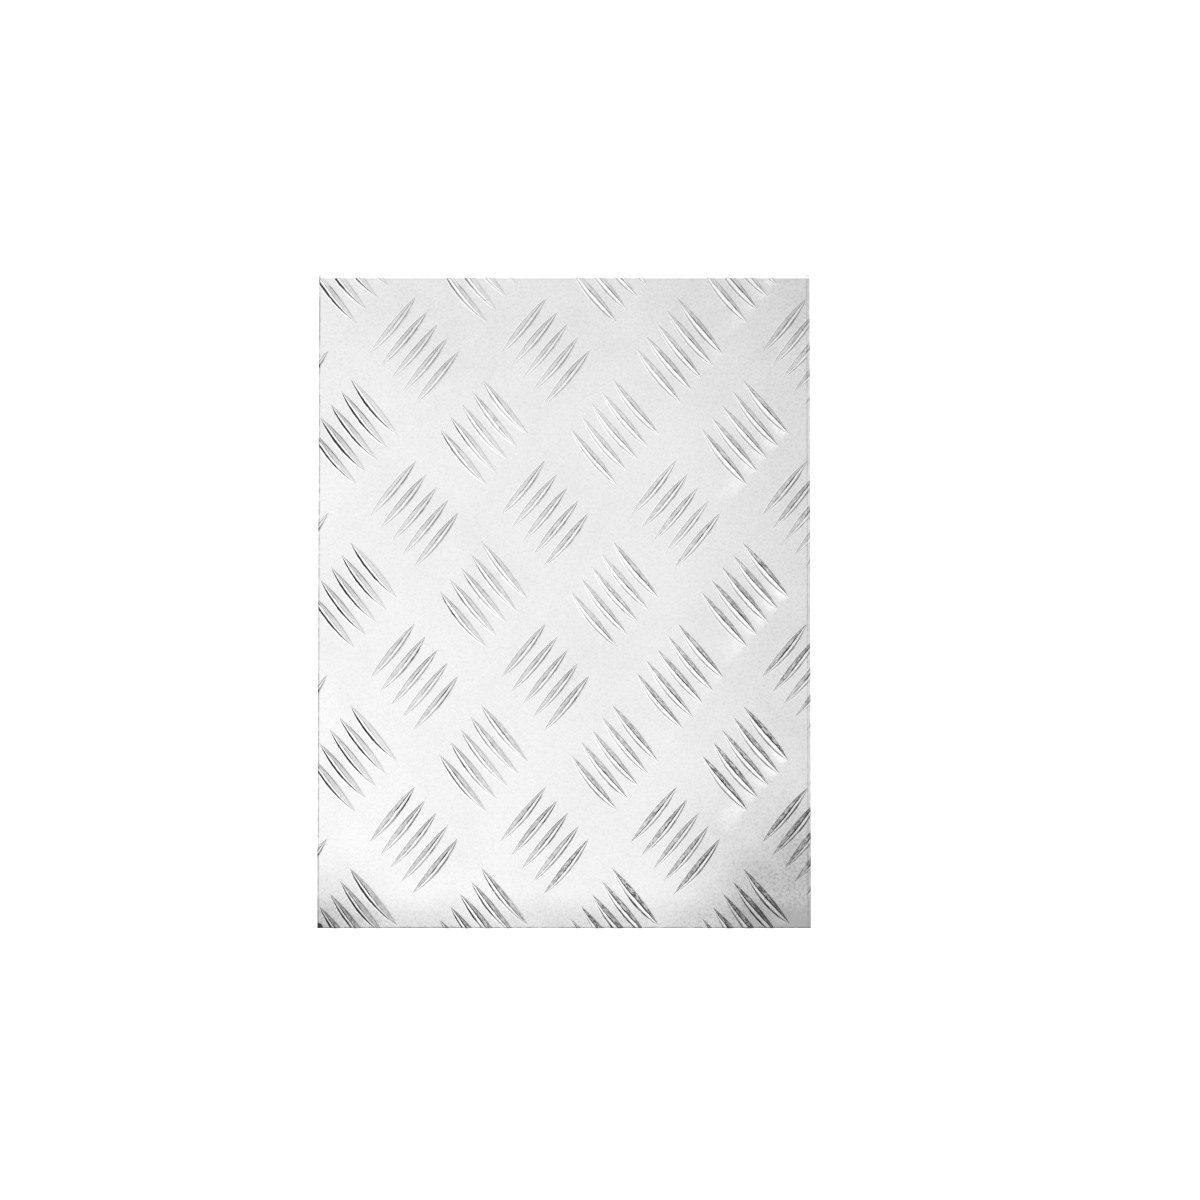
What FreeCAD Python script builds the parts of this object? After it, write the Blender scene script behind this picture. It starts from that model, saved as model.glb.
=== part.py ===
"""Five-bar checker plate: one rolled aluminium sheet, sheared to a rectangle.

Frame: millimetres, origin at the centre of the underside, X across the plate,
Y along it and +Z out of the tread face.
"""

import FreeCAD, Part
import itertools
import os

NODE = "checker_plate"

# Driving dimensions, in millimetres, degrees and counts.
DIMENSIONS = {
    "plate_width": 200.0,  # finished size along X
    "plate_length": 266.0,  # finished size along Y
    "base_thickness": 2.5,  # sheet between the treads
    "tread_height": 1.5,  # treads above the sheet
    "bar_length": 29.0,  # one tread bar, tip to tip
    "bar_width": 4.0,  # at the middle of its foot
    "crest_width": 0.8,  # at the middle of its top
    "bar_angle": 50.5,  # lean of a bar from the X axis
    "bar_count": 5,  # bars in a group
    "rising_step_across": 4.4,  # between the bars of a group that rise, along X
    "rising_step_along": 5.3,  # and along Y
    "falling_step_across": 4.2,  # between the bars of a group that fall, along X
    "falling_step_along": 5.07,  # and along Y
    "column_pitch": 26.57,  # between neighbouring columns of groups
    "row_pitch": 66.3,  # between the groups of one column
    "rising_shift_across": -0.9,  # groups that rise sit this far off the lattice, along X
    "rising_shift_along": -0.3,  # and along Y
    "first_column": -112.82,  # X of the leftmost column, cut by the left edge
    "first_row": -130.8,  # Y of the lowest groups, cut by the lower edge
    "column_count": 9,  # columns that reach into the plate
    "edge_break": 0.2,  # chamfer round the underside
    "land_width": 1.8,  # strip filed along the far edge, where the bars end square
    "land_drop": 0.4,  # how far the strip slopes down to that edge
}

# Columns alternate between bars that rise to the right and bars that fall. In
# this column, counted from the left, every other group is turned to fall too.
TURNED_COLUMN = 6
LAND_OVERRUN = 2.0  # the file passes the edge by this many widths of the strip
SMALLEST_OFFCUT = 0.2  # cubic millimetres: less of a bar than this isn't kept
SIZE_TOLERANCE = 0.01
VOLUME_TOLERANCE = 0.001


def make_sheet(doc):
    """Put every driving dimension in a spreadsheet cell with its name as alias."""
    sheet = doc.addObject("Spreadsheet::Sheet", "sizes")
    for row, (name, value) in enumerate(DIMENSIONS.items(), start=1):
        sheet.set(f"A{row}", name)
        sheet.set(f"B{row}", str(value))
        sheet.setAlias(f"B{row}", name)
    doc.recompute()
    return sheet


def bind(item, formulas):
    """Drive an object's properties from the sheet."""
    for name, formula in formulas.items():
        item.setExpression(name, formula)


def make_blank(doc):
    """The flat sheet between the treads, with its lower edge broken."""
    slab = doc.addObject("Part::Box", "slab")
    bind(
        slab,
        {
            "Length": "sizes.plate_width * 1 mm",
            "Width": "sizes.plate_length * 1 mm",
            "Height": "sizes.base_thickness * 1 mm",
            "Placement.Base.x": "-sizes.plate_width / 2 * 1 mm",
            "Placement.Base.y": "-sizes.plate_length / 2 * 1 mm",
        },
    )
    doc.recompute()
    size = DIMENSIONS["edge_break"]
    lower = [
        (index, size, size)
        for index, edge in enumerate(slab.Shape.Edges, start=1)
        if edge.BoundBox.ZMax < SIZE_TOLERANCE
    ]
    blank = doc.addObject("Part::Chamfer", "blank")
    blank.Base = slab
    blank.Edges = lower
    return blank


def make_bar(doc):
    """One tread bar along X: the lens where two wide, shallow-sided cones meet.

    Each flank is a strip of a cone, so its slope is the same all along and the
    crest narrows and drops towards both tips.
    """
    foot_radius = "(sizes.bar_length ^ 2 + sizes.bar_width ^ 2) / (4 * sizes.bar_width)"
    inset = "(sizes.bar_width - sizes.crest_width) / 2"
    drop = f"({foot_radius} - sizes.bar_width / 2)"
    flanks = []
    for name, side in (("upper_flank", "-"), ("lower_flank", "+")):
        cone = doc.addObject("Part::Cone", name)
        bind(
            cone,
            {
                "Radius1": f"{foot_radius} * 1 mm",
                "Radius2": f"({foot_radius} - {inset}) * 1 mm",
                "Height": "sizes.tread_height * 1 mm",
                "Placement.Base.y": f"0 mm {side} {drop} * 1 mm",
                "Placement.Base.z": "sizes.base_thickness * 1 mm",
            },
        )
        flanks.append(cone)
    bar = doc.addObject("Part::MultiCommon", "bar")
    bar.Shapes = flanks
    return bar


def group_places(sheet):
    """Centre of every group that can reach the plate, and whether its bars rise."""
    half_length = sheet.plate_length / 2
    reach = sheet.bar_length + sheet.bar_count * sheet.rising_step_along
    for column in range(sheet.column_count):
        x = sheet.first_column + column * sheet.column_pitch
        falling_column = column % 2 == 1
        y = sheet.first_row if falling_column else sheet.first_row + sheet.row_pitch / 2
        for row in itertools.count():
            if y > half_length + reach:
                break
            turned = column == TURNED_COLUMN and row % 2 == 1
            yield x, y, not (falling_column or turned)
            y += sheet.row_pitch


def make_treads(doc, sheet, bar):
    """Repeat the bar over the lattice and shear off what passes the plate's edges."""
    height = sheet.base_thickness + sheet.tread_height
    corner = FreeCAD.Vector(-sheet.plate_width / 2, -sheet.plate_length / 2, 0)
    room = Part.makeBox(sheet.plate_width, sheet.plate_length, height, corner)
    bars = []
    for x, y, rising in group_places(sheet):
        if rising:
            lean = sheet.bar_angle
            step = FreeCAD.Vector(-sheet.rising_step_across, sheet.rising_step_along, 0)
            middle = FreeCAD.Vector(x + sheet.rising_shift_across, y + sheet.rising_shift_along, 0)
        else:
            lean = -sheet.bar_angle
            step = FreeCAD.Vector(sheet.falling_step_across, sheet.falling_step_along, 0)
            middle = FreeCAD.Vector(x, y, 0)
        turn = FreeCAD.Rotation(FreeCAD.Vector(0, 0, 1), lean)
        for index in range(sheet.bar_count):
            centre = middle + step * (index - (sheet.bar_count - 1) / 2)
            solid = bar.Shape.copy()
            solid.Placement = FreeCAD.Placement(centre, turn)
            if not room.BoundBox.isInside(solid.BoundBox):
                solid = solid.common(room)
            bars += [piece for piece in solid.Solids if piece.Volume > SMALLEST_OFFCUT]
    treads = doc.addObject("Part::Feature", "treads")
    treads.Shape = Part.makeCompound(bars)
    return treads


def make_strip(doc):
    """What the file takes off along the far edge: the space over a sloping plane."""
    strip = doc.addObject("Part::Wedge", "filed_strip")
    side = "(sizes.plate_width / 2 + sizes.land_width) * 1 mm"
    bind(
        strip,
        {
            "Xmin": f"-{side}",
            "X2min": f"-{side}",
            "Xmax": side,
            "X2max": side,
            "Ymin": "0 mm",
            "Ymax": f"{LAND_OVERRUN} * sizes.land_width * 1 mm",
            "Zmin": "0 mm",
            "Z2min": f"-{LAND_OVERRUN} * sizes.land_drop * 1 mm",
            "Zmax": "2 * sizes.tread_height * 1 mm",
            "Z2max": "2 * sizes.tread_height * 1 mm",
            "Placement.Base.y": "(sizes.plate_length / 2 - sizes.land_width) * 1 mm",
            "Placement.Base.z": "sizes.base_thickness * 1 mm",
        },
    )
    return strip


def make_plate(doc, blank, treads, strip):
    """Join the treads and the sheet into one solid and file its far edge."""
    rolled = doc.addObject("Part::Fuse", "rolled_sheet")
    rolled.Base = blank
    rolled.Tool = treads
    rolled.Refine = True
    plate = doc.addObject("Part::Cut", NODE)
    plate.Base = rolled
    plate.Tool = strip
    plate.Label = NODE
    doc.recompute()
    plate.Placement = FreeCAD.Placement()
    return rolled, plate


def check(doc, sheet, plate, rolled, blank, treads, strip):
    """Stop unless every feature worked and the plate has the size and volume it should."""
    for item in doc.Objects:
        if "Invalid" in item.State or "Error" in item.State:
            raise RuntimeError(f"{item.Name} failed: {item.State}")
    shape = plate.Shape
    if shape.isNull() or not shape.isValid() or len(shape.Solids) != 1:
        raise RuntimeError("the plate is not one valid solid")
    box = shape.optimalBoundingBox(False, False)
    wanted = (sheet.plate_width, sheet.plate_length, sheet.base_thickness + sheet.tread_height)
    found = (box.XLength, box.YLength, box.ZLength)
    if any(abs(one - other) > SIZE_TOLERANCE for one, other in zip(wanted, found)):
        raise RuntimeError(f"the plate measures {found}")
    whole = blank.Shape.Volume + treads.Shape.Volume
    if abs(rolled.Shape.Volume / whole - 1) > VOLUME_TOLERANCE:
        raise RuntimeError(f"volume {rolled.Shape.Volume}, but its parts add up to {whole}")
    filed = rolled.Shape.Volume - shape.Volume
    due = sheet.plate_width * sheet.land_width * sheet.land_drop / 2
    due += treads.Shape.common(strip.Shape).Volume
    if abs(filed / due - 1) > VOLUME_TOLERANCE:
        raise RuntimeError(f"the file took off {filed}, and {due} was due")
    print(f"size {found}, {len(treads.Shape.Solids)} bars, {len(shape.Faces)} faces")
    print(f"volume {shape.Volume:.0f} cubic millimetres, treads {treads.Shape.Volume:.0f}")


document = FreeCAD.newDocument("checker_plate")
sizes = make_sheet(document)
flat = make_blank(document)
one_bar = make_bar(document)
document.recompute()
all_bars = make_treads(document, sizes, one_bar)
filing = make_strip(document)
joined, final = make_plate(document, flat, all_bars, filing)
document.recompute()
check(document, sizes, final, joined, flat, all_bars, filing)
os.makedirs("parts", exist_ok=True)
final.Shape.exportStep(f"parts/{NODE}.step")
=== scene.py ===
# %% [markdown]
# # A five-bar checker plate
# This lesson dresses one piece of raw stock: a rolled aluminium sheet with raised
# tread bars, sheared to a rectangle and laid flat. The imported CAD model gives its
# exact size and place. Here the sheet gets a finer mesh, with rounded bars and
# worked edges, and a mill finish that catches the light as bare aluminium does.

# %% Load the frame
import bmesh
import bpy
import math
import random
from mathutils import Matrix, Vector
from mathutils.geometry import delaunay_2d_cdt


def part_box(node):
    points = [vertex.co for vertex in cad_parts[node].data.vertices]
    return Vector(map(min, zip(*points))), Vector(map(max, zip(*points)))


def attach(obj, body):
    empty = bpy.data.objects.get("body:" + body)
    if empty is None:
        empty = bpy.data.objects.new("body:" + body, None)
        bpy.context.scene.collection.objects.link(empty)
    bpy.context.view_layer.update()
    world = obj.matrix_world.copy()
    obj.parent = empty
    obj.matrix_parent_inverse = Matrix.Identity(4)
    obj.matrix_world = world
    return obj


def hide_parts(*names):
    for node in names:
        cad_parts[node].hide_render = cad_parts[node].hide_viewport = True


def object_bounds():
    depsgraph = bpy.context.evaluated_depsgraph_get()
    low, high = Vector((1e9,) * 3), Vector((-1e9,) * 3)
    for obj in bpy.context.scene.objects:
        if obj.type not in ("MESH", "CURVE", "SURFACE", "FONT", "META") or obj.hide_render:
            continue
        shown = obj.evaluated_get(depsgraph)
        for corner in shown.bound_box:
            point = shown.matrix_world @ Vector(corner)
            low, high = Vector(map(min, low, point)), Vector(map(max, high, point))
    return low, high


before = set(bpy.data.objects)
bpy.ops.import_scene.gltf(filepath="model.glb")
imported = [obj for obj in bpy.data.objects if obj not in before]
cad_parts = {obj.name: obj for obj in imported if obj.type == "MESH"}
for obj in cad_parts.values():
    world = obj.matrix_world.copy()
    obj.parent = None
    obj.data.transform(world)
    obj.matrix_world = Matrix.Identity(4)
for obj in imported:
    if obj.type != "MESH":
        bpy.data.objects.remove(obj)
cad_low, cad_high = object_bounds()
NODE = "checker_plate"
print("CAD box", tuple(cad_low), tuple(cad_high))

# %% [markdown]
# ## Sizes
# Everything about the sheet is measured in millimetres, as a rolling mill would
# give it, and is turned into metres only when the mesh is written. The outline and
# the overall height come from the CAD box. The tread lattice repeats the sizes that
# the CAD model was driven by.

# %% Name the sizes
MM = 0.001
low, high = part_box(NODE)
HALF_WIDTH = (high[0] - low[0]) / MM / 2
HALF_LENGTH = (high[1] - low[1]) / MM / 2
OVERALL = (high[2] - low[2]) / MM

BASE = 2.5  # sheet between the treads
TREAD = OVERALL - BASE  # height of the tallest bar
BAR_LENGTH = 29.0
BAR_WIDTH = 4.1
BAR_ANGLE = math.radians(50.5)
BAR_COUNT = 5
RISING_STEP = Vector((-4.4, 5.3))  # from one bar of a group to the next
FALLING_STEP = Vector((4.2, 5.07))
RISING_SHIFT = Vector((-0.9, -0.3))  # groups that rise sit a little off the lattice
COLUMN_PITCH, ROW_PITCH = 26.57, 66.3
FIRST_COLUMN, FIRST_ROW = -112.82, -130.8
COLUMN_COUNT = 9
TURNED_COLUMN = 6
print(f"plate {2 * HALF_WIDTH:.1f} by {2 * HALF_LENGTH:.1f} by {OVERALL:.1f} mm")

# %% [markdown]
# ## Where the bars stand
# Groups of five bars sit in columns. One column's bars rise to the right, the next
# column's fall, and neighbouring columns are staggered by half a row. In one column
# every other group is turned, a fault in the pattern that this sheet really has.
# A loop over the lattice gives each bar's middle and lean, and keeps only the bars
# that reach the plate.

# %% Lay out the bars
def group_places():
    """Middle of every group near the plate, and whether its bars rise to the right."""
    for column in range(COLUMN_COUNT):
        x = FIRST_COLUMN + column * COLUMN_PITCH
        falling_column = column % 2 == 1
        y = FIRST_ROW if falling_column else FIRST_ROW + ROW_PITCH / 2
        row = 0
        while y < HALF_LENGTH + ROW_PITCH / 2:
            turned = column == TURNED_COLUMN and row % 2 == 1
            yield x, y, not (falling_column or turned)
            y += ROW_PITCH
            row += 1


def bar_places():
    """Middle, lean and number in its group of every bar that touches the plate."""
    reach_x = BAR_LENGTH / 2 * math.cos(BAR_ANGLE) + BAR_WIDTH / 2
    reach_y = BAR_LENGTH / 2 * math.sin(BAR_ANGLE) + BAR_WIDTH / 2
    for x, y, rising in group_places():
        lean = BAR_ANGLE if rising else -BAR_ANGLE
        step = RISING_STEP if rising else FALLING_STEP
        middle = Vector((x, y)) + (RISING_SHIFT if rising else Vector((0, 0)))
        for index in range(BAR_COUNT):
            place = middle + step * (index - (BAR_COUNT - 1) / 2)
            if abs(place.x) < HALF_WIDTH + reach_x and abs(place.y) < HALF_LENGTH + reach_y:
                yield place, lean, index


bars = list(bar_places())
print(len(bars), "bars")

# %% [markdown]
# ## The shape of one bar
# The roll squeezes metal up into engraved grooves, so a bar is a lens in plan,
# pointed at both ends and bowed a little. Its two sides differ. The upper one is a
# plain slope from the crest to the foot. The lower one starts gently, drops
# steeply and ends in a wide fillet, because the metal leaves the groove on that
# side. Towards one tip the crest moves over to the upper side, which widens the
# gentle part. A flat rim outside the foot keeps the shading of the sheet clean.

# %% Shape one bar
RIM = 0.3  # flat rim round the foot
TIP_RIM = 0.5
LEAST_HALF_WIDTH = 0.05  # the foot is blunted to this at its tips
TIP_POWER = 0.92
CREST_POWER = 0.85
CREST_ROUND = 0.16  # share of the upper side that rounds off the crest
FOOT_FILLET = 0.12  # and the share that eases into the sheet
SHOULDER = 0.22  # share of the height lost evenly down the lower side
SHOULDER_LEAD = 0.35  # how much wider it is at the leading tip than at the middle
DROP_LENGTH = 0.4  # share of the lower side that falls steeply
# Along that fall lies the painted shade line of the toe crease.
TOE_PLACE = 0.7  # where along that fall the dirt collects
CREST_LEAD = 0.28  # how far the crest moves over at the leading tip, in half widths
BOW = 0.0031  # sideways bend, per millimetre squared
STATIONS = 20
LOWER_SIDE = (-1.0, -0.93, -0.86, -0.78, -0.7, -0.62, -0.54, -0.46, -0.36, -0.2, -0.07)
UPPER_SIDE = (0.0, 0.06, 0.13, 0.22, 0.5, 0.84, 0.92, 1.0)
ACROSS = LOWER_SIDE + UPPER_SIDE


def smooth_step(low_end, high_end, value):
    """0 below low_end, 1 above high_end and a smooth rise between them."""
    part = min(max((value - low_end) / (high_end - low_end), 0.0), 1.0)
    return part * part * (3 - 2 * part)


def upper_section(t):
    """Height of the upper side, as a share of the crest, from crest (0) to foot (1)."""
    flat_part = CREST_ROUND / 2
    if t < CREST_ROUND:
        fall = t * t / (2 * CREST_ROUND)
    else:
        fall = t - flat_part
    plain = 1 - fall / (1 - flat_part)
    return plain * smooth_step(1 + FOOT_FILLET, 1 - FOOT_FILLET, t) ** 0.5


def lower_section(t, shoulder_end):
    """Height of the lower side, from crest (0) to foot (1); it drops past the shoulder."""
    drop = smooth_step(shoulder_end, shoulder_end + DROP_LENGTH, t)
    return 1 - SHOULDER * t - (1 - SHOULDER) * drop


def bar_grid(length, width, height, shoulder, lead):
    """Rows of (x, y, z, share across) from tip to tip; the first and last hold one point.

    The shoulder is the share of the lower side before it drops. Towards the leading
    tip, 1 or -1, the shoulder widens and the crest moves to the upper side.
    """
    half = length / 2
    rows = [[(-half - TIP_RIM, 0.0, 0.0, 1.0)]]
    for station in range(STATIONS + 1):
        x = -half * math.cos(math.pi * station / STATIONS)
        fullness = max(1 - (x / half) ** 2, 0.0)
        side = max(width / 2 * fullness**TIP_POWER, LEAST_HALF_WIDTH)
        crest = height * fullness**CREST_POWER
        shoulder_end = shoulder * (1 + SHOULDER_LEAD * lead * x / half)
        crest_shift = CREST_LEAD * side * lead * x / half
        row = [(x, -side - RIM, 0.0, -1.0 - RIM / side)]
        for t in ACROSS:
            section = upper_section(t) if t > 0 else lower_section(-t, shoulder_end)
            y = t * side + crest_shift * (1 - t * t)
            row.append((x, y, crest * max(section, 0.0), t))
        row.append((x, side + RIM, 0.0, 1.0 + RIM / side))
        rows.append(row)
    rows.append([(half + TIP_RIM, 0.0, 0.0, 1.0)])
    return rows


sample_grid = bar_grid(BAR_LENGTH, BAR_WIDTH, TREAD, 0.3, 0.0)
print(sum(len(row) for row in sample_grid), "points a bar")

# %% [markdown]
# ## Bars and flats in one skin
# Each bar is set down as a patch of quads, with small seeded differences in length,
# width, height and lean, because a worn roll never presses two bars alike. The bars
# at the ends of a group stand higher than those in its middle. The flat metal
# between them is filled by a constrained Delaunay triangulation, which keeps every
# bar's rim as its edges.
#
# Painted shade darkens the upper side of the bars, more towards the right and near
# sides of the sheet, and the painted shade in the crease at their foot is darkest in
# the falling bars on the left. Values stored at each point tell the finish all of this:
# where it lies on its bar, how much painted shade that bar gets, and where its crease
# runs.

# %% Describe each bar's strength and painted shade
RISING_STRENGTH = (1.0, 0.35, 0.3, 0.6, 0.95)
FALLING_STRENGTH = (0.7, 0.7, 0.4, 0.45, 1.0)
VALUES = ("foot_share", "bar_along", "on_bar", "bar_shade")
VALUES += ("toe_shade", "toe_place", "bar_lead", "bar_tone")
STRENGTH_SPREAD = 0.22  # how far one bar strays from its group's usual strength
SHADE_SPREAD = (-0.05, 0.07)
TOE_SPREAD = (0.75, 1.2)
LENGTH_SPREAD = (0.975, 1.02)
WIDTH_SPREAD = (0.97, 1.03)
HEIGHT_SPREAD = (0.97, 1.0)
BOW_SPREAD = (0.5, 1.4)
TURN_SPREAD = 0.012  # radians
rng = random.Random(41)


def describe_bar(place, lean, index):
    """A bar's strength, shoulder, painted shade, painted toe shade and lead, from where it stands.

    right and near run from 0 to 1 across and along the plate.
    """
    rising = lean > 0
    usual = RISING_STRENGTH[index] if rising else FALLING_STRENGTH[index]
    strength = min(max(usual + rng.uniform(-STRENGTH_SPREAD, STRENGTH_SPREAD), 0.0), 1.0)
    right = min(max(0.5 + place.x / HALF_WIDTH / 2, 0.0), 1.0)
    near = min(max(0.5 - place.y / HALF_LENGTH / 2, 0.0), 1.0)
    # The painted shade on the bars grows towards the right and near sides, and the painted shade in
    # the toe crease is darkest in the falling bars on the left.
    if rising:
        shade_amount = 0.05 + 0.42 * near**2 + 0.7 * right**2 * (0.25 + 0.75 * near)
        toe_shade = 0.45 + 0.4 * near
        shoulder, lead = 0.36, 0.8
    else:
        shade_amount = right**1.6 * (0.35 + 1.1 * near) + 0.5 * near**8
        on_left = smooth_step(0.6, 0.95, 1 - right)
        toe_shade = 0.32 + 2.2 * on_left + 0.8 * near**4
        shoulder = 0.26 + 0.34 * right
        lead = 1.0 if right > 0.55 else -1.0
    shade_amount = shade_amount * (0.7 + 0.4 * strength) + rng.uniform(*SHADE_SPREAD)
    return strength, shoulder, max(shade_amount, 0.0), toe_shade * rng.uniform(*TOE_SPREAD), lead


# %% Build the skin
MARGIN = 25.0  # sheet beyond the plate, sheared off later
skin = bmesh.new()
layers = {name: skin.verts.layers.float.new(name) for name in VALUES}


def add_bar(place, lean, index):
    """Add one bar's patch and return its rim, in order round the bar."""
    strength, shoulder, shade_amount, toe_shade, lead = describe_bar(place, lean, index)
    length = BAR_LENGTH * rng.uniform(*LENGTH_SPREAD)
    width = BAR_WIDTH * (0.94 + 0.08 * strength) * rng.uniform(*WIDTH_SPREAD)
    height = TREAD * (0.86 + 0.14 * strength) * rng.uniform(*HEIGHT_SPREAD)
    bow = BOW * rng.uniform(*BOW_SPREAD)
    tone = rng.random()
    turn = Matrix.Rotation(lean + rng.uniform(-TURN_SPREAD, TURN_SPREAD), 2)
    rows = []
    for points in bar_grid(length, width, height, shoulder, lead):
        row = []
        for local_x, local_y, z, share in points:
            spot = place + turn @ Vector((local_x, local_y + bow * local_x**2))
            vert = skin.verts.new((spot.x, spot.y, BASE + z))
            on_bar = float(abs(share) <= 1.0 and len(points) > 1)
            along = 2 * local_x / length
            toe_place = -shoulder * (1 + SHOULDER_LEAD * lead * along) - DROP_LENGTH * TOE_PLACE
            stored = (share, along, on_bar, shade_amount, toe_shade, toe_place, lead, tone)
            for name, value in zip(VALUES, stored):
                vert[layers[name]] = value
            row.append(vert)
        rows.append(row)
    for near, far in zip(rows, rows[1:]):
        if len(near) == 1:
            for first, second in zip(far, far[1:]):
                skin.faces.new((near[0], first, second))
        elif len(far) == 1:
            for first, second in zip(near, near[1:]):
                skin.faces.new((first, far[0], second))
        else:
            for number in range(len(near) - 1):
                skin.faces.new((near[number], far[number], far[number + 1], near[number + 1]))
    lower = [row[0] for row in rows]
    upper = [row[-1] for row in rows[1:-1]]
    return lower + upper[::-1]


rims = [add_bar(*bar) for bar in bars]
print(len(skin.verts), "points on the bars")

# %% Fill the flats
SHEET_X, SHEET_Y = HALF_WIDTH + MARGIN, HALF_LENGTH + MARGIN
SNAP = 1e-4
corners = []
for corner_x, corner_y in ((-1, -1), (1, -1), (1, 1), (-1, 1)):
    corners.append(skin.verts.new((corner_x * SHEET_X, corner_y * SHEET_Y, BASE)))
loops = rims + [corners]
flat_verts = [vert for loop in loops for vert in loop]
flat_points = [Vector((vert.co.x, vert.co.y)) for vert in flat_verts]
outlines, start = [], 0
for loop in loops:
    outlines.append(list(range(start, start + len(loop))))
    start += len(loop)
points, _, triangles, sources, _, owners = delaunay_2d_cdt(flat_points, [], outlines, 0, SNAP)
sheet_face = len(rims)
for triangle, owner in zip(triangles, owners):
    if owner == [sheet_face]:
        skin.faces.new([flat_verts[sources[index][0]] for index in triangle])
print(len(points) - len(flat_points), "extra points,", len(skin.faces), "faces in the skin")

# %% [markdown]
# ## Shearing and dressing the edges
# A guillotine cuts straight through sheet and bars alike and drags the top of the
# metal down a little as it goes. Here planes cut the skin to size. Extra cuts just
# inside the edges give the points for that rounding. The far edge has been dressed
# with a file, which leaves a narrow, gently sloping land where the bars are cut
# off square.

# %% Shear the skin
LAND_WIDTH, LAND_DROP = 1.8, 0.4  # dressed strip along the far edge
LAND_STEP = 0.03
ROLL_WIDTH, ROLL_DROP = 0.6, 0.5  # metal dragged down along the other edges
LAND_ROLL = 0.15  # and the smaller rounding that the file leaves on the far edge
CLEAR_STEP = 0.06  # an extra cut this far in keeps the shading of the flats level
SIDES = (
    (Vector((-1, 0, 0)), HALF_WIDTH),
    (Vector((1, 0, 0)), HALF_WIDTH),
    (Vector((0, -1, 0)), HALF_LENGTH),
    (Vector((0, 1, 0)), HALF_LENGTH),
)
FAR_SIDE = SIDES[3][0]


def cut(normal, distance, clear=False):
    """Cut the skin across and, if asked, throw away what lies outside."""
    everything = skin.verts[:] + skin.edges[:] + skin.faces[:]
    place = normal * distance
    bmesh.ops.bisect_plane(
        skin, geom=everything, dist=SNAP, plane_co=place, plane_no=normal, clear_outer=clear
    )


for normal, distance in SIDES:
    cut(normal, distance, clear=True)
    if normal == FAR_SIDE:
        insets = [LAND_WIDTH + CLEAR_STEP, LAND_WIDTH, LAND_WIDTH - LAND_STEP]
        insets += [LAND_ROLL, LAND_ROLL / 3]
    else:
        insets = [ROLL_WIDTH * part for part in (1.0, 0.7, 0.4, 0.15)]
        insets.append(ROLL_WIDTH + CLEAR_STEP)
    for inset in insets:
        cut(normal, distance - inset)


def dressed_height(vert):
    """Height of a point after the edges have been rolled over and dressed."""
    z = vert.co.z
    for normal, distance in SIDES:
        inward = distance - vert.co.dot(normal)
        if normal == FAR_SIDE:
            if inward < LAND_WIDTH - LAND_STEP / 2:
                z = min(z, BASE - LAND_DROP * (1 - inward / LAND_WIDTH))
                z -= LAND_ROLL * max(1 - inward / LAND_ROLL, 0.0) ** 2
        elif inward < ROLL_WIDTH:
            z -= ROLL_DROP * (1 - inward / ROLL_WIDTH) ** 2
    return z


for vert in skin.verts:
    vert.co.z = dressed_height(vert)
    if HALF_LENGTH - vert.co.y < LAND_WIDTH - LAND_STEP / 2:
        vert[layers["on_bar"]] = 0.0
print(len(skin.faces), "faces after shearing")

# %% [markdown]
# ## Cut faces and underside
# A sheared wall has two zones: a bright band where the blade slid past, and below
# it a rougher one where the metal tore, which leans in slightly. Both follow the
# skin's border down to the broken lower edge, and one flat face closes the sheet.

# %% Close the sheet
TOP, WALL, UNDER = range(3)
BURNISH_FLOOR = 1.5  # the blade's bright band ends at this height
TEAR_LEAN = 0.06
EDGE_BREAK = 0.2


def border_loop():
    """The skin's border points in order."""
    border = {}
    for edge in skin.edges:
        if edge.is_boundary:
            for vert in edge.verts:
                border.setdefault(vert, []).append(edge.other_vert(vert))
    start_vert = next(iter(border))
    loop, previous, current = [start_vert], start_vert, border[start_vert][0]
    while current != start_vert:
        loop.append(current)
        ahead = next(vert for vert in border[current] if vert != previous)
        previous, current = current, ahead
    return loop


def ring_below(loop, z, inset):
    """A copy of the border at one height, pulled in from the plate's outline."""
    ring = []
    for vert in loop:
        x = vert.co.x * (HALF_WIDTH - inset) / HALF_WIDTH
        y = vert.co.y * (HALF_LENGTH - inset) / HALF_LENGTH
        ring.append(skin.verts.new((x, y, z)))
    return ring


border = border_loop()
rings = [
    border,
    ring_below(border, BURNISH_FLOOR, 0.0),
    ring_below(border, EDGE_BREAK, TEAR_LEAN),
    ring_below(border, 0.0, EDGE_BREAK),
]
wall_faces = []
for above, below in zip(rings, rings[1:]):
    for index in range(len(above)):
        following = (index + 1) % len(above)
        quad = (above[index], above[following], below[following], below[index])
        wall_faces.append(skin.faces.new(quad))
for face in wall_faces:
    face.material_index = WALL
under_face = skin.faces.new(rings[-1])
under_face.material_index = UNDER
bmesh.ops.recalc_face_normals(skin, faces=skin.faces[:])
for face in skin.faces:
    face.smooth = face.material_index == TOP
for edge in skin.edges:
    kinds = {face.material_index for face in edge.link_faces}
    if kinds != {TOP}:
        edge.smooth = False
print("open edges:", sum(not edge.is_manifold for edge in skin.edges))

# %% Write the mesh
bmesh.ops.scale(skin, vec=(MM, MM, MM), verts=skin.verts[:])
mesh = bpy.data.meshes.new("tread_sheet")
skin.to_mesh(mesh)
skin.free()
tread_sheet = bpy.data.objects.new("tread_sheet", mesh)
bpy.context.collection.objects.link(tread_sheet)
mesh.calc_loop_triangles()
print(len(mesh.loop_triangles), "triangles")

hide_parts(NODE)
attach(tread_sheet, "root")

# %% [markdown]
# ## Node helpers
# Materials here are drawn with nodes. Two small helpers keep that readable: one
# makes a node and fills its inputs, and one starts a shader node group with named
# inputs and outputs, so that the same effect can serve several finishes.

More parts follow.
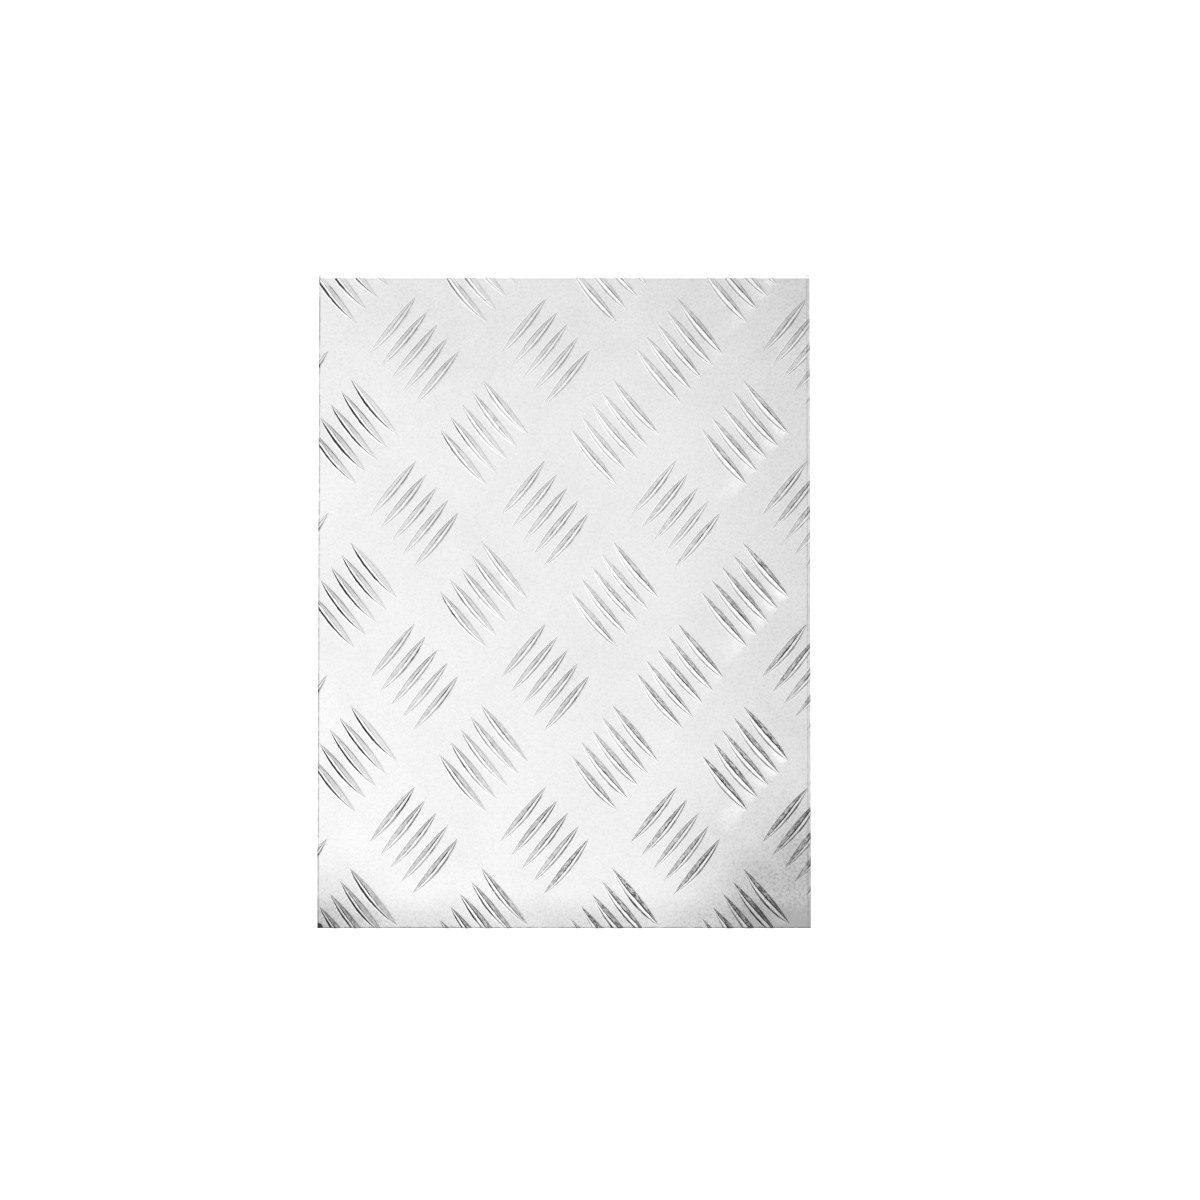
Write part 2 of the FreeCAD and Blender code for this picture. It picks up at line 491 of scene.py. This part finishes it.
# %% Make node helpers
def add_node(tree, kind, values=None, **settings):
    """Add a node; values fills inputs by name or number, or links a socket to them."""
    node = tree.nodes.new(kind)
    for name, value in settings.items():
        setattr(node, name, value)
    for name, value in (values or {}).items():
        if isinstance(value, bpy.types.NodeSocket):
            tree.links.new(value, node.inputs[name])
        else:
            node.inputs[name].default_value = value
    return node


def calculate(tree, operation, first, second=0.0, third=0.0, clamp=False):
    """One arithmetic step on numbers or sockets."""
    values = {0: first, 1: second, 2: third}
    node = add_node(tree, "ShaderNodeMath", values, operation=operation, use_clamp=clamp)
    return node.outputs[0]


def ramp_between(tree, value, low_end, high_end, low_out=0.0, high_out=1.0):
    """Turn a range of a value into another range, smoothly and clamped."""
    values = {"Value": value, "From Min": low_end, "From Max": high_end}
    values.update({"To Min": low_out, "To Max": high_out})
    node = add_node(tree, "ShaderNodeMapRange", values, interpolation_type="SMOOTHSTEP")
    return node.outputs[0]


def start_group(name, inputs, outputs):
    """A shader node group; inputs is name to default number, outputs a list of names."""
    tree = bpy.data.node_groups.new(name, "ShaderNodeTree")
    for socket_name, default in inputs.items():
        socket = tree.interface.new_socket(
            socket_name, in_out="INPUT", socket_type="NodeSocketFloat"
        )
        socket.default_value = default
    for socket_name in outputs:
        tree.interface.new_socket(socket_name, in_out="OUTPUT", socket_type="NodeSocketFloat")
    source = add_node(tree, "NodeGroupInput")
    sink = add_node(tree, "NodeGroupOutput")
    return tree, source, sink


def object_space(tree):
    """The object's own coordinates, in metres."""
    return add_node(tree, "ShaderNodeTexCoord").outputs["Object"]


def noise(tree, vector, scale, detail=2.0, roughness=0.5, distortion=0.0):
    """A noise value from 0 to 1."""
    values = {"Vector": vector, "Scale": scale, "Detail": detail}
    values.update({"Roughness": roughness, "Distortion": distortion})
    return add_node(tree, "ShaderNodeTexNoise", values).outputs[0]


def stretched(tree, vector, scale):
    """Coordinates scaled differently along each axis."""
    values = {0: vector, 1: scale}
    return add_node(tree, "ShaderNodeVectorMath", values, operation="MULTIPLY").outputs[0]


# %% [markdown]
# ## Rolling grain and clouding
# Cold rolling leaves two marks on bare aluminium. Fine lines run the way the sheet
# went through the rolls, over a grain like orange peel. Handling and a thin skin of
# oxide cloud it in soft patches. The tread face and the underside show both, at
# different strengths, so each is a group.

# %% Build the grain and cloud groups
def build_grain_group():
    """Relief and gloss differences of the rolled surface."""
    tree, source, sink = start_group(
        "rolling_grain", {"Lines": 0.5, "Peel": 0.5}, ["Height", "Gloss"]
    )
    space = object_space(tree)
    lines = noise(tree, stretched(tree, space, (5200, 130, 5200)), 1.0, 3.0)
    peel = noise(tree, space, 1500.0, 3.0, 0.6)
    relief = calculate(tree, "MULTIPLY", lines, source.outputs["Lines"])
    relief = calculate(tree, "MULTIPLY_ADD", peel, source.outputs["Peel"], relief)
    tree.links.new(relief, sink.inputs["Height"])
    tree.links.new(calculate(tree, "SUBTRACT", peel, 0.5), sink.inputs["Gloss"])
    return tree


def build_cloud_group():
    """Soft patches of oxide and fine specks, from 0 to 1."""
    tree, source, sink = start_group(
        "oxide_clouds", {"Patch Size": 1.0}, ["Clouds", "Speckle"]
    )
    space = object_space(tree)
    values = {0: space, "Scale": source.outputs["Patch Size"]}
    sized = add_node(tree, "ShaderNodeVectorMath", values, operation="SCALE").outputs[0]
    wide = noise(tree, sized, 26.0, 3.0, 0.55, 0.4)
    small = noise(tree, sized, 120.0, 3.0, 0.6)
    clouds = calculate(tree, "MULTIPLY_ADD", small, 0.35, calculate(tree, "MULTIPLY", wide, 0.65))
    tree.links.new(clouds, sink.inputs["Clouds"])
    specks = noise(tree, sized, 850.0, 2.0, 0.75)
    tree.links.new(ramp_between(tree, specks, 0.42, 0.7), sink.inputs["Speckle"])
    return tree


grain_group = build_grain_group()
cloud_group = build_cloud_group()
print("groups:", grain_group.name, cloud_group.name)

# %% [markdown]
# ## Handling haze and edges
# Fingers and stacking dull a sheet most along its edges and at its corners. The same
# bands also carry painted shade, so the metal comes out darkest towards the near right
# corner. This group adds up these bands along three edges and in the two near corners.
# It also paints thin lines of shade along the cut edges, a fainter one a little inside
# the right edge and one by the filed land, and a dark spot at one corner.

# %% Build the haze and painted shade group
# The lines along the cut edges, inside the right edge and by the filed land are painted shade.
EDGE_LINE = 0.001  # width of the line along a sheared edge
INNER_LINE = 0.0011  # the second line lies this far inside the right edge
INNER_WIDTH = 0.0004
LAND_LINE_OFFSET = 0.1  # millimetres beyond the land
CORNER_SPOT = 0.0034
LINE_CORE = 0.25  # share of a line's half width at full strength
RIGHT, FAR = HALF_WIDTH * MM, HALF_LENGTH * MM
# Each band stands for handling haze and painted shade together; they are darkest in the near right
# corner.
HAZE_AND_SHADE_BANDS = (  # edges, the widths of the bands inside them, and strength
    ({"X": RIGHT}, {"X": 0.06}, 0.2),
    ({"Y": -FAR}, {"Y": 0.016}, 0.33),
    ({"X": RIGHT, "Y": -FAR}, {"X": 0.075, "Y": 0.07}, 0.64),
    ({"X": -RIGHT, "Y": -FAR}, {"X": 0.04, "Y": 0.035}, 0.5),
    ({"Y": FAR}, {"Y": 0.075}, 0.13),
)


def edge_band(tree, coordinate, edge, width):
    """0 well inside the sheet, rising to 1 at an edge."""
    return ramp_between(tree, coordinate, edge - math.copysign(width, edge), edge)


def bump_at(tree, value, centre, width):
    """1 near where a value is at a centre, falling smoothly to 0 a width away."""
    away = calculate(tree, "ABSOLUTE", calculate(tree, "SUBTRACT", value, centre))
    return ramp_between(tree, away, width, width * LINE_CORE)


def both(tree, first, second):
    """The product of two masks."""
    return calculate(tree, "MULTIPLY", first, second)


def build_painted_edge_shade(tree, parts, ragged):
    """Painted shade lines along the sheared edges, a faint one by the land, and a dark corner spot.
    """
    line = edge_band(tree, parts["X"], -RIGHT, EDGE_LINE)
    line = calculate(tree, "MAXIMUM", line, edge_band(tree, parts["Y"], -FAR, EDGE_LINE))
    line = calculate(tree, "MAXIMUM", line, edge_band(tree, parts["X"], RIGHT, EDGE_LINE / 2))
    inner = both(tree, bump_at(tree, parts["X"], RIGHT - INNER_LINE, INNER_WIDTH), 0.4)
    line = both(tree, calculate(tree, "MAXIMUM", line, inner), ragged)
    land_end = FAR - (LAND_WIDTH + LAND_LINE_OFFSET) * MM
    by_land = both(tree, bump_at(tree, parts["Y"], land_end, 0.0003), 0.2)
    on_rim = both(tree, edge_band(tree, parts["Y"], FAR, EDGE_LINE / 2), 0.2)
    line = calculate(tree, "MAXIMUM", line, calculate(tree, "MAXIMUM", by_land, on_rim))
    spot = both(
        tree,
        edge_band(tree, parts["X"], -RIGHT, CORNER_SPOT),
        edge_band(tree, parts["Y"], -FAR, CORNER_SPOT),
    )
    spot = both(tree, ramp_between(tree, both(tree, spot, ragged), 0.12, 0.3), 1.3)
    return calculate(tree, "MAXIMUM", line, spot)


def build_haze_shade_group():
    """Masks, from 0 to 1, for handling haze with painted shade, the painted shade lines at the edges
    and the filed land.
    """
    outputs = ["Haze", "Edge Shade", "Filed"]
    tree, source, sink = start_group("haze_and_painted_shade", {"Amount": 1.0}, outputs)
    space = object_space(tree)
    parts = add_node(tree, "ShaderNodeSeparateXYZ", {0: space}).outputs
    haze_and_shade = 0.0
    for edges, widths, strength in HAZE_AND_SHADE_BANDS:
        bands = [edge_band(tree, parts[axis], edges[axis], widths[axis]) for axis in edges]
        band = bands[0] if len(bands) == 1 else both(tree, *bands)
        haze_and_shade = calculate(tree, "MULTIPLY_ADD", band, strength, haze_and_shade)
    patchy = ramp_between(tree, noise(tree, space, 34.0, 3.0, 0.55), 0.3, 0.7, 0.75, 1.2)
    haze_and_shade = both(tree, haze_and_shade, patchy)
    haze_and_shade = calculate(tree, "MULTIPLY", haze_and_shade, source.outputs["Amount"], clamp=True)
    ragged = ramp_between(tree, noise(tree, space, 300.0, 4.0, 0.7), 0.3, 0.62, 0.3, 1.0)
    filed = calculate(tree, "GREATER_THAN", parts["Y"], (HALF_LENGTH - LAND_WIDTH) * MM)
    masks = (haze_and_shade, build_painted_edge_shade(tree, parts, ragged), filed)
    for name, mask in zip(outputs, masks):
        tree.links.new(mask, sink.inputs[name])
    return tree


haze_shade_group = build_haze_shade_group()
print("group:", haze_shade_group.name)

# %% [markdown]
# ## Marks and painted shade on the bars
# The roll's grooves are cut by hand-guided grinders, so a bar's upper side carries
# fine scratches. Painted shade darkens that upper side, and three thin lines of painted
# shade run along a bar: one in the crease of the steep lower side, one just above the
# crest and a faint one at the upper foot. The first two fade towards one tip. A few
# bars have small pits. The values stored at each point place all of this.

# %% Build the bar group
TOE_WIDTH = 0.28  # of the lines, in half widths of the bar
CREST_LINE, CREST_WIDTH = 0.08, 0.18  # where a line lies across the bar, and its width
OUTLINE, OUTLINE_WIDTH = 0.86, 0.15
WANDER = 0.3  # how far the lines stray sideways
NOISE_ALONG, NOISE_ACROSS = 5.5, 2.0  # noise repeats slowly along a bar and fast across it
NOISE_APART = 50.0  # and differs from bar to bar


def read_value(tree, name):
    """A value stored at the mesh's points."""
    return add_node(tree, "ShaderNodeAttribute", attribute_name=name).outputs["Fac"]


def build_bar_group():
    """Masks for the bar's upper side, the painted shade on it, its three painted shade lines, its
    scratches and its pits.
    """
    names = ["Upper", "Upper Shade", "Toe Shade", "Crest Shade", "Outline Shade", "Scratches", "Pits"]
    tree, source, sink = start_group("bar_marks_and_shade", {"Pit Share": 0.2}, names)
    share, along, on_bar, shade_amount, toe_shade, toe_place, lead, tone = (
        read_value(tree, name) for name in VALUES
    )
    upper = calculate(tree, "MULTIPLY", ramp_between(tree, share, 0.0, 0.12), on_bar)
    upper = calculate(tree, "MULTIPLY", upper, ramp_between(tree, share, 1.0, 0.8))
    towards = calculate(tree, "MULTIPLY", along, lead)
    leading = ramp_between(tree, towards, -0.9, 0.6, 0.3, 1.0)
    values = {"X": calculate(tree, "MULTIPLY", along, NOISE_ALONG)}
    values["Y"] = calculate(tree, "MULTIPLY", share, NOISE_ACROSS)
    values["Z"] = calculate(tree, "MULTIPLY", tone, NOISE_APART)
    place = add_node(tree, "ShaderNodeCombineXYZ", values).outputs[0]
    uneven = ramp_between(tree, noise(tree, place, 0.6, 2.0, 0.6), 0.3, 0.65, 0.5, 1.2)
    wander = calculate(tree, "SUBTRACT", noise(tree, place, 0.9, 3.0, 0.6), 0.5)
    wandering = calculate(tree, "MULTIPLY_ADD", wander, WANDER, share)
    leading = calculate(tree, "MULTIPLY", leading, uneven)
    leading = calculate(tree, "MULTIPLY", leading, on_bar)
    # A dark line of painted shade in the crease of the steep lower side.
    from_toe = calculate(tree, "SUBTRACT", wandering, toe_place)
    toe_line_shade = calculate(tree, "MULTIPLY", bump_at(tree, from_toe, 0.0, TOE_WIDTH), toe_shade)
    toe_line_shade = calculate(tree, "MULTIPLY", toe_line_shade, leading)
    # A dark line of painted shade just above the crest, and a faint one at the upper foot.
    crest = both(tree, bump_at(tree, wandering, CREST_LINE, CREST_WIDTH), leading)
    crest = both(tree, crest, calculate(tree, "ADD", shade_amount, 0.4))
    outline_shade = both(tree, bump_at(tree, wandering, OUTLINE, OUTLINE_WIDTH), on_bar)
    scratches = noise(tree, place, 1.3, 4.0, 0.75, 0.3)
    pitted = ramp_between(tree, tone, source.outputs["Pit Share"], 0.0)
    pits = ramp_between(tree, noise(tree, place, 1.1, 3.0, 0.8), 0.58, 0.7)
    pits = calculate(tree, "MULTIPLY", calculate(tree, "MULTIPLY", pits, pitted), upper)
    # The upper side gets painted shade, as much as the bar's stored shade.
    upper_shade = calculate(tree, "MULTIPLY", upper, shade_amount)
    for name, mask in zip(names, (upper, upper_shade, toe_line_shade, crest, outline_shade, scratches, pits)):
        tree.links.new(mask, sink.inputs[name])
    return tree


bar_group = build_bar_group()
print("group:", bar_group.name)

# %% [markdown]
# ## The finishes
# All three finishes are bare metal, so the shader's Metallic is 1 and its colour is
# aluminium's. What differs is how smooth each surface is: the tread face is satin,
# the sheared walls are part burnished and part torn, and the underside is the
# plain side of the roll.

# %% Start a bare metal
ALUMINIUM = (0.91, 0.91, 0.91, 1.0)
# Grey of grime, torn metal and oxide, also used for the painted shade in the haze bands.
GRIME_AND_SHADE = (0.40, 0.40, 0.40, 1.0)
# Colour of the painted shade on the upper side of the bars.
UPPER_SHADE_COLOUR = (0.12, 0.12, 0.12, 1.0)
# Colour of the painted shade lines, and of the real pits.
SHADE_LINE_AND_PIT_DARK = (0.04, 0.04, 0.04, 1.0)
FILED_BRIGHT = (0.99, 0.99, 0.99, 1.0)


def start_metal(name):
    """A metal material and the pieces that every finish here uses."""
    material = bpy.data.materials.new(name)
    material.use_nodes = True
    tree = material.node_tree
    shader = tree.nodes["Principled BSDF"]
    shader.inputs["Metallic"].default_value = 1.0
    return material, tree, shader


def use_group(tree, group, values):
    """Place a group in a material with its own values."""
    return add_node(tree, "ShaderNodeGroup", values, node_tree=group).outputs


def mix_colour(tree, factor, first, second):
    """Mix two colours by a varying factor."""
    node = add_node(tree, "ShaderNodeMix", data_type="RGBA")
    tree.links.new(factor, node.inputs["Factor"])
    colour_inputs = [socket for socket in node.inputs if socket.type == "RGBA"]
    for socket, value in zip(colour_inputs, (first, second)):
        if isinstance(value, bpy.types.NodeSocket):
            tree.links.new(value, socket)
        else:
            socket.default_value = value
    return next(socket for socket in node.outputs if socket.type == "RGBA")


def raise_surface(tree, shader, height, distance):
    """Fine relief on a shader."""
    bump = add_node(tree, "ShaderNodeBump", {"Height": height, "Distance": distance})
    tree.links.new(bump.outputs[0], shader.inputs["Normal"])


# %% Finish the tread face
CLOUD_DULL = 0.14  # how much each effect darkens the metal
SPECK_DULL, SPECK_IN_HAZE = 0.12, 0.32
UPPER_SHADE_STRENGTH = 0.55
CREST_SHADE, OUTLINE_SHADE, EDGE_SHADE = 1.35, 0.26, 0.8
PIT_SHARE = 0.22  # of the bars have pits


def build_tread_colour(tree, cloud, haze_and_shade, marks):
    """Aluminium darkened by clouds, specks, haze with painted shade, painted shade on the bars and
    along the edges, and pits.
    """
    dull = ramp_between(tree, cloud["Clouds"], 0.35, 0.75, 0.0, CLOUD_DULL)
    # The haze bands add painted shade as well as dullness.
    dull = calculate(tree, "ADD", dull, haze_and_shade["Haze"])
    speck_amount = calculate(tree, "MULTIPLY_ADD", haze_and_shade["Haze"], SPECK_IN_HAZE, SPECK_DULL)
    dull = calculate(tree, "MULTIPLY_ADD", cloud["Speckle"], speck_amount, dull, clamp=True)
    colour = mix_colour(tree, dull, ALUMINIUM, GRIME_AND_SHADE)
    colour = mix_colour(tree, haze_and_shade["Filed"], colour, FILED_BRIGHT)
    hatch = ramp_between(tree, marks["Scratches"], 0.4, 0.6, 0.2, 1.75)
    # Painted shade on the upper side of every bar, broken up by the scratches.
    upper_shade = calculate(tree, "MULTIPLY_ADD", marks["Upper"], 0.04, marks["Upper Shade"])
    upper_shade = calculate(tree, "MULTIPLY", upper_shade, hatch)
    upper_shade = calculate(tree, "MULTIPLY", upper_shade, UPPER_SHADE_STRENGTH, clamp=True)
    colour = mix_colour(tree, upper_shade, colour, UPPER_SHADE_COLOUR)
    # Painted shade lines along the bars and along the cut edges.
    lines = calculate(tree, "MULTIPLY_ADD", marks["Crest Shade"], CREST_SHADE, marks["Toe Shade"])
    lines = calculate(tree, "MULTIPLY_ADD", marks["Outline Shade"], OUTLINE_SHADE, lines)
    lines = calculate(tree, "MULTIPLY_ADD", haze_and_shade["Edge Shade"], EDGE_SHADE, lines, clamp=True)
    colour = mix_colour(tree, lines, colour, SHADE_LINE_AND_PIT_DARK)
    return mix_colour(tree, marks["Pits"], colour, SHADE_LINE_AND_PIT_DARK)


def build_tread_finish():
    """Satin rolled face with scratched bars that carry painted shade."""
    material, tree, shader = start_metal("tread_face")
    grain = use_group(tree, grain_group, {"Lines": 0.35, "Peel": 0.9})
    cloud = use_group(tree, cloud_group, {"Patch Size": 1.0})
    haze_and_shade = use_group(tree, haze_shade_group, {"Amount": 1.0})
    marks = use_group(tree, bar_group, {"Pit Share": PIT_SHARE})
    colour = build_tread_colour(tree, cloud, haze_and_shade, marks)
    tree.links.new(colour, shader.inputs["Base Color"])

    rough = calculate(tree, "MULTIPLY_ADD", cloud["Clouds"], 0.1, 0.25)
    rough = calculate(tree, "MULTIPLY_ADD", grain["Gloss"], 0.12, rough)
    rough = calculate(tree, "MULTIPLY_ADD", haze_and_shade["Haze"], 0.1, rough)
    tree.links.new(rough, shader.inputs["Roughness"])

    hatch = calculate(tree, "MULTIPLY", marks["Scratches"], marks["Upper"])
    height = calculate(tree, "MULTIPLY_ADD", hatch, 7.0, grain["Height"])
    height = calculate(tree, "MULTIPLY_ADD", marks["Pits"], -6.0, height)
    raise_surface(tree, shader, height, 0.00001)
    return material


# %% Finish the cut walls and the underside
def build_wall_finish():
    """Sheared wall: a burnished band above, a torn grey zone below."""
    material, tree, shader = start_metal("sheared_wall")
    space = object_space(tree)
    height_above = add_node(tree, "ShaderNodeSeparateXYZ", {0: space}).outputs["Z"]
    wander = noise(tree, stretched(tree, space, (260, 260, 0)), 1.0, 2.0)
    torn_line = calculate(tree, "MULTIPLY_ADD", wander, 0.0008, 0.0011)
    below_line = calculate(tree, "SUBTRACT", torn_line, height_above)
    torn = ramp_between(tree, below_line, -0.00015, 0.00015)
    streaks = noise(tree, stretched(tree, space, (2600, 2600, 160)), 1.0, 3.0, 0.6)
    crumbs = noise(tree, space, 3200.0, 4.0, 0.7)
    colour = mix_colour(tree, calculate(tree, "MULTIPLY", torn, 0.5), ALUMINIUM, GRIME_AND_SHADE)
    tree.links.new(colour, shader.inputs["Base Color"])
    rough = calculate(tree, "MULTIPLY_ADD", torn, 0.25, 0.24)
    rough = calculate(tree, "MULTIPLY_ADD", streaks, 0.15, rough)
    tree.links.new(rough, shader.inputs["Roughness"])
    crumbs = calculate(tree, "MULTIPLY", crumbs, torn)
    relief = calculate(tree, "MULTIPLY_ADD", crumbs, 5.0, streaks)
    raise_surface(tree, shader, relief, 0.00002)
    return material


def build_under_finish():
    """Plain rolled side, with longer lines and larger clouds."""
    material, tree, shader = start_metal("underside")
    grain = use_group(tree, grain_group, {"Lines": 0.9, "Peel": 0.4})
    cloud = use_group(tree, cloud_group, {"Patch Size": 0.6})
    dull = ramp_between(tree, cloud["Clouds"], 0.35, 0.75, 0.0, 0.25)
    colour = mix_colour(tree, dull, ALUMINIUM, GRIME_AND_SHADE)
    tree.links.new(colour, shader.inputs["Base Color"])
    rough = calculate(tree, "MULTIPLY_ADD", cloud["Clouds"], 0.15, 0.26)
    tree.links.new(rough, shader.inputs["Roughness"])
    raise_surface(tree, shader, grain["Height"], 0.000012)
    return material


for finish in (build_tread_finish(), build_wall_finish(), build_under_finish()):
    mesh.materials.append(finish)
print("finishes:", [finish.name for finish in mesh.materials])

# %% [markdown]
# ## Floor and light
# Bare metal shows the room more than itself. A photographer lights a tread plate
# with a broad white ceiling, so that the flats come out pale, and keeps one side of
# the room brighter than the other, so that each bar has a light and a grey side.
# The world does that here. It is a soft dome, brightest high up in front and
# greyer low down and behind, and overhead it dims towards the right.

# %% Lay the floor
FLOOR_SIZE = 6.0
FLOOR_GAP = 0.0001  # below the sheet, so that the two don't flicker together
FLOOR_GLOW = 0.45  # lifts the paper to plain white
floor_mesh = bpy.data.meshes.new("floor")
half_floor = FLOOR_SIZE / 2
floor_corners = [(-half_floor, -half_floor, 0), (half_floor, -half_floor, 0)]
floor_corners += [(half_floor, half_floor, 0), (-half_floor, half_floor, 0)]
floor_mesh.from_pydata(floor_corners, [], [(0, 1, 2, 3)])
floor = bpy.data.objects.new("floor", floor_mesh)
floor.location.z = cad_low[2] - FLOOR_GAP
bpy.context.collection.objects.link(floor)


def build_floor_finish():
    """White paper that keeps a shadow but fades to plain white where it is lit."""
    material = bpy.data.materials.new("white_paper")
    material.use_nodes = True
    tree = material.node_tree
    shader = tree.nodes["Principled BSDF"]
    shader.inputs["Base Color"].default_value = (0.85, 0.85, 0.85, 1.0)
    shader.inputs["Roughness"].default_value = 0.9
    shader.inputs["Emission Color"].default_value = (1.0, 1.0, 1.0, 1.0)
    path = add_node(tree, "ShaderNodeLightPath").outputs
    seen = calculate(tree, "MAXIMUM", path["Is Camera Ray"], path["Is Glossy Ray"])
    seen = calculate(tree, "MAXIMUM", seen, path["Is Transmission Ray"])
    tree.links.new(calculate(tree, "MULTIPLY", seen, FLOOR_GLOW), shader.inputs["Emission Strength"])
    return material


floor_mesh.materials.append(build_floor_finish())

# %% Light the room
WORLD_TOP = 1.6  # scales the stops below
# Height from 0 at the rim to 1 overhead, and brightness there.
FRONT = ((0.0, 0.3), (0.2, 0.38), (0.45, 0.46), (0.65, 0.54), (0.8, 0.9), (0.93, 0.94), (1.0, 0.54))
BACK = ((0.0, 0.44), (0.24, 0.48), (0.42, 0.46), (0.7, 0.44), (0.88, 0.85), (0.975, 0.5), (1.0, 0.54))
OVERHEAD = (1.15, 0.765)  # dimming from left to right, high up
LOW_DOWN = (1.29, 1.26)  # and nearer the rim


def dome_ramp(tree, height, stops):
    """Brightness of the dome against height, from 0 at the rim to 1 overhead."""
    node = add_node(tree, "ShaderNodeValToRGB", {"Fac": height})
    node.color_ramp.interpolation = "B_SPLINE"
    elements = node.color_ramp.elements
    while len(elements) < len(stops):
        elements.new(0.5)
    for element, (place, value) in zip(elements, stops):
        element.position = place
        element.color = (value, value, value, 1.0)
    return node.outputs[0]


def build_world():
    """The dome: bright towards the front, grey behind, dimmer towards the right."""
    world = bpy.data.worlds.new("studio_dome")
    world.use_nodes = True
    tree = world.node_tree
    background = tree.nodes["Background"]
    direction = add_node(tree, "ShaderNodeTexCoord").outputs["Generated"]
    parts = add_node(tree, "ShaderNodeSeparateXYZ", {0: direction}).outputs
    front = dome_ramp(tree, parts["Z"], FRONT)
    back = dome_ramp(tree, parts["Z"], BACK)
    light = mix_colour(tree, ramp_between(tree, parts["Y"], 0.12, -0.12), back, front)
    overhead = ramp_between(tree, parts["X"], -0.3, 0.3, *OVERHEAD)
    low_down = ramp_between(tree, parts["X"], -0.35, 0.35, *LOW_DOWN)
    height = ramp_between(tree, parts["Z"], 0.7, 0.93)
    dimmer = add_node(tree, "ShaderNodeMix", {0: height, 2: low_down, 3: overhead}).outputs[0]
    values = {0: light, "Scale": dimmer}
    light = add_node(tree, "ShaderNodeVectorMath", values, operation="SCALE").outputs[0]
    path = add_node(tree, "ShaderNodeLightPath").outputs
    shown = mix_colour(tree, path["Is Camera Ray"], light, (1 / WORLD_TOP,) * 3 + (1.0,))
    tree.links.new(shown, background.inputs["Color"])
    background.inputs["Strength"].default_value = WORLD_TOP
    return world


bpy.context.scene.world = build_world()

# %% [markdown]
# ## Camera
# The plate is seen from almost straight above, from over a metre away, a little to
# the right of its middle. A long lens keeps its sides nearly parallel. A degree or
# two of tilt brings the near edge slightly closer than the far one.

# %% Place the camera
FRAME_WIDTH = 0.4871  # floor that the picture takes in from side to side
LENS, SENSOR = 85.0, 36.0
TILT = math.radians(1.7)
AIM = Vector((0.01457, 0.0, OVERALL * MM))
camera_data = bpy.data.cameras.new("camera")
camera_data.lens = LENS
camera_data.sensor_width = SENSOR
camera = bpy.data.objects.new("camera", camera_data)
bpy.context.collection.objects.link(camera)
distance = FRAME_WIDTH * LENS / SENSOR
camera.location = AIM + Vector((0, -math.sin(TILT), math.cos(TILT))) * distance
camera.rotation_euler = (TILT, 0, 0)
bpy.context.scene.camera = camera
bpy.context.scene.view_settings.view_transform = "Standard"
print("camera at", tuple(camera.location))
